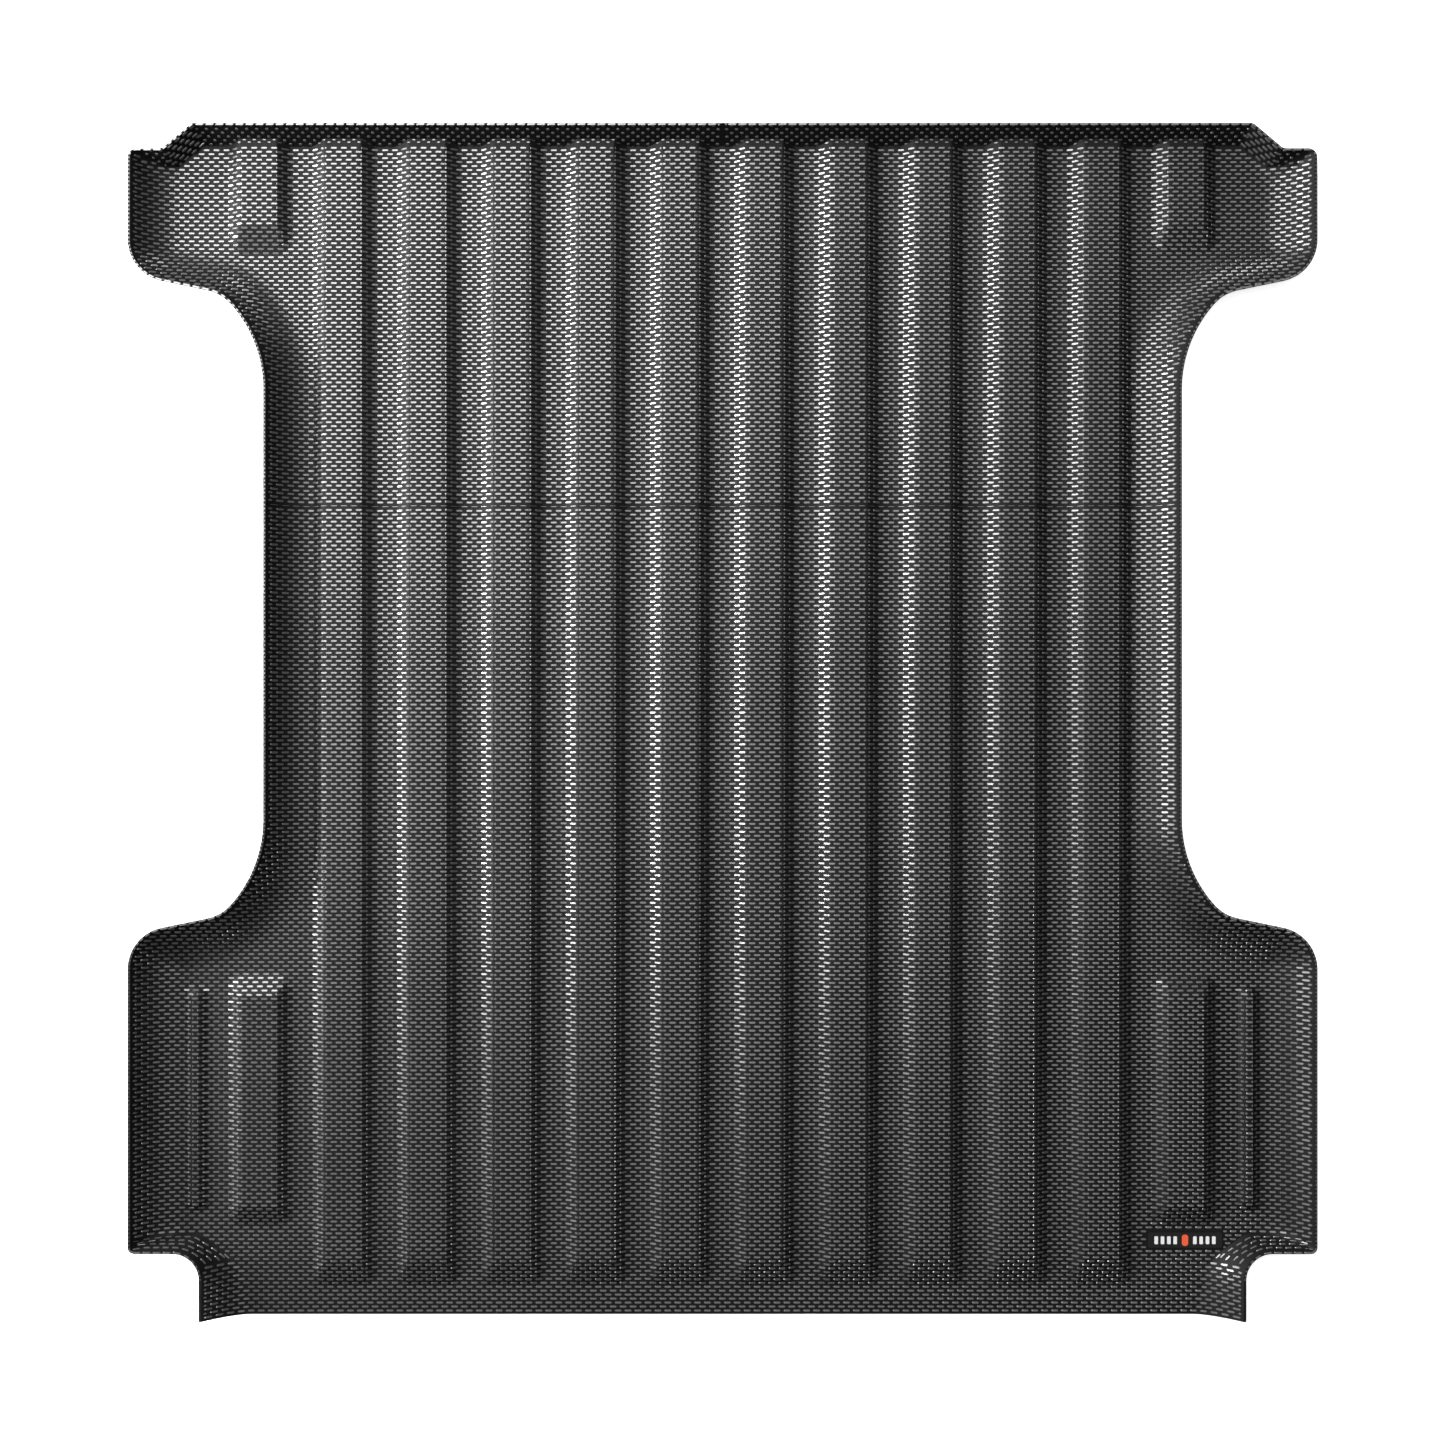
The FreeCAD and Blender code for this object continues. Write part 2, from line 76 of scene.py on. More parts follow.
# outline at the wheelhouses
WAIST_HALF = 645.5
WHEEL_MIDDLE = 166.0
WHEEL_HALF = 464.0
WHEEL_SLANT = math.radians(11.66)
POCKET_CORNER_RADIUS = 60.0
# a wheelhouse corner turns on a tight arc at its slanted end and on an easy one at the waist
WHEEL_ARCS = ((60.0, math.radians(36.5)), (180.0, math.radians(41.84)))
# outline at the tail, with a notch for the bed's pillar
TAIL_HALF = 736.0
NOTCH_DEPTH = 95.5
NOTCH_RADIUS = 37.0
NOTCH_Y = NOTCH_DEPTH - HALF_LENGTH
NOTCH_END = NOTCH_Y - NOTCH_RADIUS / 2
REAR_CORNER_RADIUS = 9.0
# how far a stretch of the outline runs past its last corner, and the spacing of points on arcs
LEAD = 60.0
PLAN_ARC_STEP = 4.0
# walls: how far each reaches in from the rim, and the line where the rear wall meets the floor
SIDE_RUN = 70.4
FRONT_RUN = 20.8
REAR_FOOT = 19.0
REAR_FOOT_CORNERS = ((745.0, -728.0, 25.0), (690.0, -768.0, 60.0))
TAIL_FOOT_HALF = 670.0
# the rear wall rises in a bend, which is stronger where the wall is wide
REAR_BEND = 1.15
WIDE_REAR_BEND = 0.45
BEND_FROM = 25.0
BEND_OVER = 40.0
# the walls' height is worked out only from this far inside the waist and the front edge outwards
SIDE_REACH = 90.0
FRONT_REACH = 40.0
# ribs and beads; each form is: half width, rear end, front end, run of the flank, run of the end,
# corner radius, height; a rib that meets the front wall is taken on past the front edge
RIB_PITCH = 119.7
RIB_COLUMNS = 6
RIB_HALF = 43.0
RIB_HEIGHT = 12.0
RIB_FLANK = 16.7
RIB_REAR = -801.0
PAST_FRONT = HALF_LENGTH + 200
FULL_RIB = (RIB_HALF, RIB_REAR, PAST_FRONT, RIB_FLANK, 37, 12, RIB_HEIGHT)
FRONT_POCKET_RIB = (RIB_HALF, 667, PAST_FRONT, RIB_FLANK, 39, 14, RIB_HEIGHT)
REAR_POCKET_RIB = (RIB_HALF, -714, -359, RIB_FLANK, 27, 14, RIB_HEIGHT)
BEAD = (14.5, -694, -376, 9, 9, 12, 8)
BEAD_X = 749.0
# tolerances: points that count as one, a point that counts as being on a line or on the rim, and how
# far inside the open tail edge its points are tested
WELD = 0.01
ON_LINE = 0.02
ON_RIM = 0.05
TAIL_INSET = 0.2
# points of the sheet's mesh: their spacing on the rim, the rear wall's foot and the middle line, along
# the ribs, over the ribs' ends and along the nose
RIM_STEP = 8.0
FOOT_STEP = 6.0
AXIS_STEP = 10.0
RIB_ROW_STEP = 21.0625
RIB_END_STEP = 4.5
NOSE_STEP = 6.0
# the stretch behind and ahead of the ribs' rear ends that has closer rows
RIB_END_BEHIND = 6.0
RIB_END_AHEAD = 45.0
# lines on both sides of a rib's bends and of its middle, and how far past the waist they are laid
BEND_HALF = 1.5
CREST_LINE = 9.0
LINES_PAST_WAIST = 60.0
# least distance between two points and between a point and the rim
LEAST_GAP = 1.9
RIM_GAP = 2.0
# how much closer to the rim than its depth a point of a wall's row may lie
RING_TOLERANCE = 0.4
# points handled at once where distances to a line are worked out
NEAREST_BATCH = 8000
# how far in from the rim the front wall and the side walls have rows of mesh points
NOSE_DEPTHS = (0.5, 4, 8, 12.2, 14.4, 17, 19.5, FRONT_RUN, 23, 28)
SIDE_RINGS = (3, 8, 14, 21, 29, 38, 48, 58, 66, SIDE_RUN, 75)
SIDE_RING_STEP = 9.0
FRONT_RINGS = (4, 9, 14, 18, FRONT_RUN, 23)
FRONT_RING_STEP = 6.0
# areas with a fine grid of mesh points: left, right, low, high, step
FINE_AREAS = ((608, 708, 655, 815, 5), (608, 708, -722, -350, 5), (730, 768, -700, -370, 4),
              (660, 835, 700, 842, 6), (640, 836, -842, -700, 5))
# dashes of the grip pattern: spacing, size, and how their top shrinks from their foot
DASH_PITCH = 14.13
ROW_PITCH = 5.64
DASH_LENGTH = 10.4
DASH_WIDTH = 2.9
DASH_POINT = 1.1
DASH_RISE = 0.75
DASH_SINK = 0.3
DASH_TAPER = 0.8
# a dash is tested at this many spots and dropped if what is left of it is too short
SHORTEST_DASH = 3.0
CLIP_SPOTS = 13
# distance over which the surface's slope is measured under a dash
PROBE = 0.6
# dashes are tested against the walls only from this far inside the waist, front and tail outwards
NEAR_SIDE = 10.0
NEAR_FRONT = 60.0
NEAR_TAIL = 12.0
# clear distances between dashes and the rim, a wall's foot and the badge
EDGE_GAP = 0.5
FOOT_GAP = 0.8
BADGE_GAP = 1.2
WALL_EDGE_GAP = 1.6
# rows on the front wall, whose straight stretch has short dashes
WALL_DASH_LENGTH = 5.5
FIRST_FRONT_ROW = 0.6
STRAIGHT = 0.99
# rows round the rear notch: every second one only where the wall is wide
NOTCH_ROWS = 5
WIDE_NOTCH = 34.0
NOTCH_START = 0.4
NOTCH_STAGGER = 0.25
# paths that the rows of dashes follow: spacing of points, slack, and the reach that gives a heading
PATH_STEP = 1.0
PATH_TOLERANCE = 0.1
HEADING_REACH = 3.0
# two faint cross lines of the mould: a row of narrow dashes, and a slightly wider gap; rows within
# reach of a line, in row pitches, are moved off it, but not a row that is itself on the line
SEAM_ROW = 307.0
SEAM_GAP_ROW = 333.0
SEAM_SHIFT = 0.3
SEAM_NARROW = 0.3
SEAM_OWN = 1.0
SEAM_REACH = 1.2
# pads on the rim's cut edge, longer and wider where the edge runs across
RIM_PAD = 3.4
LONG_RIM_PAD = 12.2
PAD_WIDTH = 0.55
PAD_WIDTH_ACROSS = 0.2
PAD_SINK = 0.2
PAD_RISE = 0.6
PAD_TAPER = 0.85
# looks: how uneven the gloss is, scale of the mottle, and the angle above which an edge is sharp
ROUGH_SPREAD = 0.05
MOTTLE_SCALE = 9.0
CREASE = math.radians(32)
# stage and camera, in metres, but lens and sensor in millimetres
FLOOR_REACH = 30.0
FLOOR_GLOW = 0.7
BACKDROP_RADIUS = 28.0
BACKDROP_GLOW = 0.78
WORLD_STRENGTH = 0.04
CAMERA_HEIGHT = 2.828
CAMERA_LENS = 49.4
SENSOR = 36.0
# each light: name, place, target, width and length in metres, power in watts
LIGHTS = (
    ("soft_top", (-1.5, 1.6, 3.3), (-0.2, 0.2, 0.0), (2.7, 2.7), 300),
    ("overhead", (0.7, 0.3, 3.6), (0.7, 0.3, 0.0), (3.8, 4.2), 85),
    ("low_left", (-3.1, 0.9, 1.15), (0.1, 0.0, 0.0), (3.4, 0.7), 430),
    ("low_front", (0.5, 3.2, 1.0), (0.2, 0.0, 0.0), (2.4, 0.6), 50),
)


# ---------------------------------------------------------------- polylines

def arc(centre, radius, first, last):
    """Points of an arc, both ends among them."""
    count = max(2, int(abs(last - first) * radius / PLAN_ARC_STEP) + 2)
    angles = np.linspace(first, last, count)
    return [(centre[0] + radius * math.cos(a), centre[1] + radius * math.sin(a)) for a in angles]


def rounded(corners):
    """A polyline through corners of x, y and radius, rounded where the radius isn't 0."""
    points = [corners[0][:2]]
    for before, corner, after in zip(corners, corners[1:], corners[2:]):
        if corner[2] == 0:
            points.append(corner[:2])
            continue
        here = np.array(corner[:2])
        back = np.array(before[:2]) - here
        back = back / np.linalg.norm(back)
        ahead = np.array(after[:2]) - here
        ahead = ahead / np.linalg.norm(ahead)
        half = math.acos(float(np.clip(back @ ahead, -1, 1))) / 2
        centre = here + (back + ahead) / np.linalg.norm(back + ahead) * corner[2] / math.sin(half)
        reach = corner[2] / math.tan(half)
        start = here + back * reach - centre
        end = here + ahead * reach - centre
        first = math.atan2(start[1], start[0])
        turn = (math.atan2(end[1], end[0]) - first + math.pi) % (2 * math.pi) - math.pi
        points += arc(centre, corner[2], first, first + turn)
    points.append(corners[-1][:2])
    return np.array(points)


def lengths_along(line):
    """Distance along a polyline from its start to each of its points."""
    return np.r_[0, np.cumsum(np.linalg.norm(np.diff(line, axis=0), axis=1))]


def points_at(line, marks, places):
    """Points of a polyline at places given on the same scale as the marks of its own points."""
    return np.stack([np.interp(places, marks, line[:, axis]) for axis in (0, 1)], -1)


def resample(line, step):
    """The same polyline with points about a step apart, evenly spaced."""
    lengths = lengths_along(line)
    places = np.linspace(0, lengths[-1], max(2, int(lengths[-1] / step)))
    return points_at(line, lengths, places)


def offset_inwards(line, depth, step):
    """Points of the curve that runs beside a polyline, at a depth inside it."""
    spread = resample(line, step)
    heading = np.gradient(spread, axis=0)
    heading /= np.linalg.norm(heading, axis=1)[:, None]
    return spread + np.stack([heading[:, 1], -heading[:, 0]], 1) * depth


def dense(line, step):
    """The same polyline with its long stretches divided."""
    points = [line[0]]
    for a, b in zip(line, line[1:]):
        count = max(1, int(np.linalg.norm(b - a) / step))
        points += [a + (b - a) * (k + 1) / count for k in range(count)]
    return np.array(points)


def rest_after(line, point):
    """What follows, on a polyline, its point closest to a given one."""
    return line[np.linalg.norm(line - point, axis=1).argmin() + 1:]


def nearest(points, line):
    """Distance of each point to a polyline, and the direction from the polyline to the point."""
    starts = line[:-1]
    steps = np.diff(line, axis=0)
    square = (steps ** 2).sum(1)
    distance = np.empty(len(points))
    inward = np.empty((len(points), 2))
    normals = np.stack([steps[:, 1], -steps[:, 0]], 1) / np.sqrt(square)[:, None]
    for first in range(0, len(points), NEAREST_BATCH):
        batch = slice(first, first + NEAREST_BATCH)
        some = points[batch]
        offset = some[:, None, :] - starts[None]
        along = np.clip((offset * steps).sum(2) / square, 0, 1)
        gap = offset - along[..., None] * steps
        length = np.sqrt((gap ** 2).sum(2))
        pick = length.argmin(1)
        rows = np.arange(len(some))
        best = length[rows, pick]
        distance[batch] = best
        direction = gap[rows, pick] / np.maximum(best, 1e-9)[:, None]
        inward[batch] = np.where(best[:, None] > ON_LINE, direction, normals[pick])
    return distance, inward


def inside(points, polygon):
    """Whether each point is inside a closed polygon."""
    result = np.zeros(len(points), bool)
    for a, b in zip(polygon, np.roll(polygon, -1, axis=0)):
        spans = (a[1] > points[:, 1]) != (b[1] > points[:, 1])
        if spans.any():
            cross = a[0] + (points[:, 1] - a[1]) * (b[0] - a[0]) / (b[1] - a[1])
            result ^= spans & (points[:, 0] < cross)
    return result


def grid(across, along):
    """Every pairing of the given x and y."""
    return np.array([(x, y) for x in across for y in along])


# ---------------------------------------------------------------- plan outline

def wheelhouse_corner():
    """From the slanted end to the waist, heading inwards, ahead of the wheelhouse."""
    heading = math.pi + WHEEL_SLANT
    place = np.zeros(2)
    points = [place]
    for radius, turn in WHEEL_ARCS:
        centre = place + radius * np.array([-math.sin(heading), math.cos(heading)])
        first = heading - math.pi / 2
        points += [np.array(point) for point in arc(centre, radius, first, first + turn)[1:]]
        heading += turn
        place = points[-1]
    points = np.array(points)
    points[:, 0] += WAIST_HALF - points[-1, 0]
    start_drop = (HALF_WIDTH - points[0, 0]) * math.tan(WHEEL_SLANT)
    points[:, 1] += WHEEL_MIDDLE + WHEEL_HALF - start_drop - points[0, 1]
    return points


def side_outline():
    """The side of the plan from the front step to the rear pocket's corner, with the wheelhouse."""
    corner = wheelhouse_corner()
    front = rounded([(HALF_WIDTH - LEAD, STEP_Y, 0),
                     (HALF_WIDTH, STEP_Y, FRONT_CORNER_RADIUS),
                     (HALF_WIDTH, WHEEL_MIDDLE + WHEEL_HALF, POCKET_CORNER_RADIUS),
                     tuple(corner[0]) + (0,)])[1:]
    rear = corner[::-1] * (1, -1) + (0, 2 * WHEEL_MIDDLE)
    back = rounded([tuple(rear[-1]) + (0,),
                    (HALF_WIDTH, WHEEL_MIDDLE - WHEEL_HALF, POCKET_CORNER_RADIUS),
                    (HALF_WIDTH, NOTCH_Y, REAR_CORNER_RADIUS),
                    (TAIL_HALF, NOTCH_Y, 0)])[:-1]
    return np.vstack([front, corner[1:], rear, back[1:]])


def front_outline():
    """The front of the plan from the middle over the chamfer and the step to the side."""
    return rounded([(0, HALF_LENGTH, 0),
                    (NOSE_HALF, HALF_LENGTH, NOSE_RADIUS),
                    (NOSE_HALF + CHAMFER_RUN, STEP_Y, CHAMFER_RADIUS),
                    (HALF_WIDTH, STEP_Y, FRONT_CORNER_RADIUS),
                    (HALF_WIDTH, STEP_Y - LEAD, 0)])[:-1]


def rear_outline():
    """The rear of the plan from the side round the notch to the tail's corner."""
    return rounded([(HALF_WIDTH, NOTCH_Y + LEAD, 0),
                    (HALF_WIDTH, NOTCH_Y, REAR_CORNER_RADIUS),
                    (TAIL_HALF, NOTCH_Y, NOTCH_RADIUS),
                    (TAIL_HALF, -HALF_LENGTH, 0)])[1:]


def rear_foot():
    """The line where the rear wall meets the floor, from the side to the tail edge."""
    corners = [(HALF_WIDTH, NOTCH_Y + REAR_FOOT, 0)]
    corners += REAR_FOOT_CORNERS
    corners.append((TAIL_FOOT_HALF, -HALF_LENGTH, 0))
    return rounded(corners)


FRONT = front_outline()
SIDE = side_outline()
REAR = rear_outline()
FOOT = rear_foot()
REAR_BAND = np.vstack([REAR, FOOT[::-1]])


def half_outline():
    """The right half of the plan, from the middle of the front round to the middle of the tail."""
    side = rest_after(SIDE, FRONT[-1])
    rear = rest_after(REAR, SIDE[-1])
    return np.vstack([FRONT, side, rear, [(0, -HALF_LENGTH)]])


OUTLINE = half_outline()


# ---------------------------------------------------------------- sheet surface

def swage(x, y, centre, half, rear, front, flank, end_run, corner, height):
    """Height of one raised rib or bead: flat on top, sloped all round, rounded corners in plan."""
    squeeze = flank / end_run
    across = np.abs(x - centre) - half + corner
    behind = (rear - y) * squeeze + corner
    ahead = (y - front) * squeeze + corner
    along = np.maximum(behind, ahead)
    outside = np.hypot(np.maximum(across, 0), np.maximum(along, 0))
    gap = outside + np.minimum(np.maximum(across, along), 0) - corner
    return height * np.clip(-gap / flank, 0, 1)


def swage_height(x, y):
    """Height of the ribs and beads over the right half of the plan."""
    pocket = (RIB_COLUMNS - 0.5) * RIB_PITCH
    placed = [((column + 0.5) * RIB_PITCH, FULL_RIB) for column in range(RIB_COLUMNS - 1)]
    placed += [(pocket, FRONT_POCKET_RIB), (pocket, REAR_POCKET_RIB), (BEAD_X, BEAD)]
    result = np.zeros(len(x))
    for centre, form in placed:
        result = np.maximum(result, swage(x, y, centre, *form))
    return result


def walls(points):
    """Rows of side, front and rear wall, and the width of the rear one.

    A row has each point's share of the way up that wall, from 0 at its foot to 1 at the rim, and the
    direction inwards from the rim.
    """
    rows = []
    for line, run in ((SIDE, SIDE_RUN), (FRONT, FRONT_RUN)):
        distance, inward = nearest(points, line)
        rows.append((np.clip(1 - distance / run, 0, 1), inward))
    to_rim, inward = nearest(points, REAR)
    to_foot, _ = nearest(points, FOOT)
    within = np.stack([points[:, 0], np.maximum(points[:, 1], TAIL_INSET - HALF_LENGTH)], 1)
    band = inside(within, REAR_BAND) | (to_rim < ON_RIM)
    share = np.where(band, 1 - to_rim / np.maximum(to_rim + to_foot, 1e-6), 0)
    rows.append((share, inward))
    return rows, to_rim + to_foot


def cove_rise(share):
    """Height of the side wall's arc as a share of the rim's, from a share of its run."""
    radius = (SIDE_RUN ** 2 + WALL ** 2) / (2 * WALL)
    return (radius - np.sqrt(radius ** 2 - (SIDE_RUN * share) ** 2)) / WALL


def wall_rise(plan):
    """Height of the walls as a share of the rim's, and how far the upper face stands inside the lower."""
    rows, rear_width = walls(plan)
    (up_side, _), (up_front, _), (up_rear, _) = rows
    bend = REAR_BEND + WIDE_REAR_BEND * np.clip((rear_width - BEND_FROM) / BEND_OVER, 0, 1)
    rise = np.maximum(np.maximum(cove_rise(up_side), up_front), up_rear ** bend)
    moved = np.zeros((len(plan), 2))
    for share, inward in rows:
        short = np.maximum(share * LIP - (moved * inward).sum(1), 0)
        moved += short[:, None] * inward
    return rise, moved


def on_front_wall(plan):
    """Whether the front wall is the upper one at each point of the right half."""
    up_front = 1 - nearest(plan, FRONT)[0] / FRONT_RUN
    up_side = np.clip(1 - nearest(plan, SIDE)[0] / SIDE_RUN, 0, 1)
    return (up_front > 0) & (up_front > cove_rise(up_side))


def on_notch_wall(plan):
    """Whether each point of the right half is on the wall around the rear notch."""
    return inside(plan, REAR_BAND) & (plan[:, 1] > NOTCH_END)


def on_right(points):
    """The points with those of the left half mirrored to the right half."""
    return np.stack([np.abs(points[:, 0]), points[:, 1]], 1)


def faces_of_sheet(points):
    """Places of plan points on the upper and on the lower face; x may be on either side."""
    side = np.where(points[:, 0] < 0, -1.0, 1.0)
    plan = on_right(points)
    near = (plan[:, 0] > WAIST_HALF - SIDE_REACH) | (plan[:, 1] > HALF_LENGTH - FRONT_REACH)
    wall = np.zeros(len(plan))
    shift = np.zeros((len(plan), 2))
    wall[near], shift[near] = wall_rise(plan[near])
    ribs = swage_height(plan[:, 0], plan[:, 1])
    top = SHEET + np.maximum(WALL * wall, ribs)
    bottom = np.maximum(RIM * wall, ribs)
    seat = (np.abs(points - BADGE_MIDDLE) < BADGE_HALF + SEAT_GAP + WELD).all(1)
    top = np.where(seat, top - SEAT_DEPTH, top)
    above = plan + shift
    upper = np.stack([above[:, 0] * side, above[:, 1], top], 1)
    lower = np.stack([plan[:, 0] * side, plan[:, 1], bottom], 1)
    return upper, lower


# ---------------------------------------------------------------- tray mesh

def lines_across():
    """x of the lines that follow the ribs' feet and crests, over the right half."""
    marks = [0.0]
    crest = RIB_HALF - RIB_FLANK
    halves = [bend + away for bend in (RIB_HALF, crest) for away in (BEND_HALF, 0, -BEND_HALF)]
    for column in range(RIB_COLUMNS):
        centre = (column + 0.5) * RIB_PITCH
        for half in halves + [CREST_LINE]:
            marks += [centre - half, centre + half]
        marks.append((column + 1) * RIB_PITCH)
    return np.array(sorted(mark for mark in marks if mark < WAIST_HALF + LINES_PAST_WAIST))


def wall_rings():
    """Points of curves beside the side's and the front's outline, at set depths."""
    rings = []
    for line, depths, step in ((SIDE, SIDE_RINGS, SIDE_RING_STEP), (FRONT, FRONT_RINGS, FRONT_RING_STEP)):
        for depth in depths:
            ring = offset_inwards(line, depth, step)
            rings.append(ring[nearest(ring, OUTLINE)[0] > depth - RING_TOLERANCE])
    return rings


def plan_points():
    """Points for the right half's triangulation, finer where the sheet bends."""
    marks = lines_across()
    nose_rows = HALF_LENGTH - np.array(NOSE_DEPTHS)
    rib_ends = np.arange(RIB_REAR - RIB_END_BEHIND, RIB_REAR + RIB_END_AHEAD, RIB_END_STEP)
    clouds = [
        grid(marks, np.arange(-HALF_LENGTH, HALF_LENGTH + 1, RIB_ROW_STEP)),
        grid(np.arange(0, WAIST_HALF, RIB_END_STEP), rib_ends),
        grid(np.arange(0, NOSE_HALF, NOSE_STEP), nose_rows),
        grid(marks, nose_rows),
    ]
    clouds += wall_rings()
    for left, right, low, high, step in FINE_AREAS:
        clouds.append(grid(np.arange(left, right, step), np.arange(low, high, step)))
    cloud = np.vstack(clouds)
    cloud = cloud[inside(cloud, OUTLINE) & (cloud[:, 0] > -WELD)]
    return cloud[nearest(cloud, OUTLINE[:-1])[0] > RIM_GAP]


def thinned(points, least):
    """Leaves out points closer than about the least distance to an earlier one."""
    kept = []
    seen = {}
    for x, y in points:
        cell = (int(x // least), int(y // least))
        near = [seen.get((cell[0] + i, cell[1] + j)) for i in (-1, 0, 1) for j in (-1, 0, 1)]
        if any(p is not None and math.hypot(p[0] - x, p[1] - y) < least for p in near):
            continue
        seen[cell] = (x, y)
        kept.append((x, y))
    return np.array(kept)


def seat_ring(grow):
    """Corners of the badge's seat, grown by a distance."""
    reach = BADGE_HALF + SEAT_GAP + grow
    return np.array([BADGE_MIDDLE + reach * corner for corner in ((-1, -1), (1, -1), (1, 1), (-1, 1))])


def triangulated(cloud, edges, border):
    """Plan points and anticlockwise triangles inside the border, which the first points form."""
    points = [Vector((float(x), float(y))) for x, y in cloud]
    out, _, found, _, _, _ = delaunay_2d_cdt(points, edges, [list(range(border))], 1, WELD)
    plan = np.array([tuple(point) for point in out])
    tris = np.array([tri for tri in found if len(tri) == 3])
    a, b, c = (plan[tris[:, k]] for k in range(3))
    area = (b[:, 0] - a[:, 0]) * (c[:, 1] - a[:, 1]) - (b[:, 1] - a[:, 1]) * (c[:, 0] - a[:, 0])
    tris[area < 0] = tris[area < 0][:, ::-1]
    plan[np.abs(plan[:, 0]) < WELD, 0] = 0.0
    return plan, tris


def tray_mesh():
    """Vertices and faces of the whole tray, in millimetres."""
    rim = dense(OUTLINE, RIM_STEP)
    rim[-1] = OUTLINE[-1]
    foot = dense(FOOT, FOOT_STEP)[1:-1]
    fixed = np.vstack([rim, foot, seat_ring(0.0), seat_ring(SEAT_DRAFT)])
    axis = grid((0.0,), np.arange(-HALF_LENGTH + 10, HALF_LENGTH - 5, AXIS_STEP))
    cloud = thinned(np.vstack([fixed, axis, plan_points()]), LEAST_GAP)
    cloud = np.vstack([fixed, cloud[len(thinned(fixed, LEAST_GAP)):]])
    first = len(rim)
    edges = [(k, k + 1) for k in range(first, first + len(foot) - 1)]
    for ring in (first + len(foot), first + len(foot) + 4):
        edges += [(ring + k, ring + (k + 1) % 4) for k in range(4)]
    plan, tris = triangulated(cloud, edges, first)
    return mirrored_sheet(plan, tris)


def mirrored_sheet(plan, tris):
    """Both halves, both faces and the cut edge."""
    twin = np.arange(len(plan))
    off_axis = plan[:, 0] > 0
    twin[off_axis] = len(plan) + np.arange(off_axis.sum())
    both = np.vstack([plan, plan[off_axis] * (-1, 1)])
    faces = np.vstack([tris, twin[tris][:, ::-1]])
    upper, lower = faces_of_sheet(both)
    count = len(both)
    sides = np.vstack([faces[:, [0, 1]], faces[:, [1, 2]], faces[:, [2, 0]]])
    ways = {tuple(side) for side in sides.tolist()}
    border = [(a, b) for a, b in ways if (b, a) not in ways]
    quads = [(b, a, a + count, b + count) for a, b in border]
    polygons = faces.tolist() + (faces[:, ::-1] + count).tolist() + quads
    return np.vstack([upper, lower]), polygons


# ---------------------------------------------------------------- grip dashes

def dash_shape(length, width):
    """A dash in plan: a long hexagon with a point at each end."""
    tip = np.asarray(length, float) / 2
    half = width / 2
    shoulder = tip - DASH_POINT
    level = np.zeros_like(tip)
    low = np.full_like(tip, -half)
    high = np.full_like(tip, half)
    ring = ((-tip, level), (-shoulder, low), (shoulder, low),
            (tip, level), (shoulder, high), (-shoulder, high))
    return np.stack([np.stack(corner, -1) for corner in ring], -2)


def clipped(middles, headings, lengths, allowed):
    """Dashes cut back to their allowed stretch: middles, headings and lengths, without the shortest."""
    steps = np.linspace(-0.5, 0.5, CLIP_SPOTS)
    spots = middles[:, None] + headings[:, None] * (steps * lengths[:, None])[..., None]
    clear = allowed(spots.reshape(-1, 2)).reshape(len(middles), len(steps))
    first = np.where(clear, steps, np.inf).min(1)
    last = np.where(clear, steps, -np.inf).max(1)
    share = np.maximum(last - first, 0)
    keep = share * lengths >= SHORTEST_DASH
    moved = middles[keep] + headings[keep] * ((first + last)[keep] / 2 * lengths[keep])[:, None]
    return moved, headings[keep], (share * lengths)[keep]


def on_sheet(plan):
    """Whether a wall's dash may pass over each point of the right half."""
    return inside(plan, OUTLINE) & (nearest(plan, OUTLINE)[0] > WALL_EDGE_GAP)


def on_front_sheet(plan):
    """Whether a front wall's dash may pass over each point of the right half."""
    return on_sheet(plan) & on_front_wall(plan)


def clear_of_edges(spots):
    """Whether a dash of the floor's rows may pass over each spot."""
    plan = on_right(spots)
    clear = inside(plan, OUTLINE)
    near = clear & ((plan[:, 0] > WAIST_HALF - NEAR_SIDE) | (plan[:, 1] > HALF_LENGTH - NEAR_FRONT)
                    | (plan[:, 1] < NEAR_TAIL - HALF_LENGTH))
    close = plan[near]
    ahead = close + (0, DASH_WIDTH / 2)
    far_enough = nearest(close, OUTLINE)[0] > DASH_WIDTH / 2 + EDGE_GAP
    far_enough &= ~on_front_wall(ahead) & ~on_notch_wall(close)
    far_enough &= nearest(close, FOOT)[0] > FOOT_GAP
    clear[near] = far_enough
    gap = np.abs(spots - BADGE_MIDDLE) - BADGE_HALF
    return clear & ((gap[:, 0] > BADGE_GAP) | (gap[:, 1] > DASH_WIDTH / 2 + BADGE_GAP))


def floor_dashes():
    """Middles and lengths of the staggered rows over floor, ribs and side walls, on both sides.

    A dash that would cross the rim, a wall's foot or the badge keeps only its clear stretch.
    """
    rows = int(HALF_LENGTH / ROW_PITCH) + 1
    columns = int(HALF_WIDTH / DASH_PITCH) + 1
    middles = np.array([((column + 0.5 * (row % 2)) * DASH_PITCH, (row + 0.5) * ROW_PITCH)
                        for row in range(-rows, rows) for column in range(-columns, columns + 1)])
    for line in (SEAM_ROW, SEAM_GAP_ROW):
        away = middles[:, 1] - line
        beside = (np.abs(away) > SEAM_OWN) & (np.abs(away) < SEAM_REACH * ROW_PITCH)
        middles[beside, 1] += np.sign(away[beside]) * SEAM_SHIFT
    headings = np.tile((1.0, 0.0), (len(middles), 1))
    return clipped(middles, headings, np.full(len(middles), DASH_LENGTH), clear_of_edges)


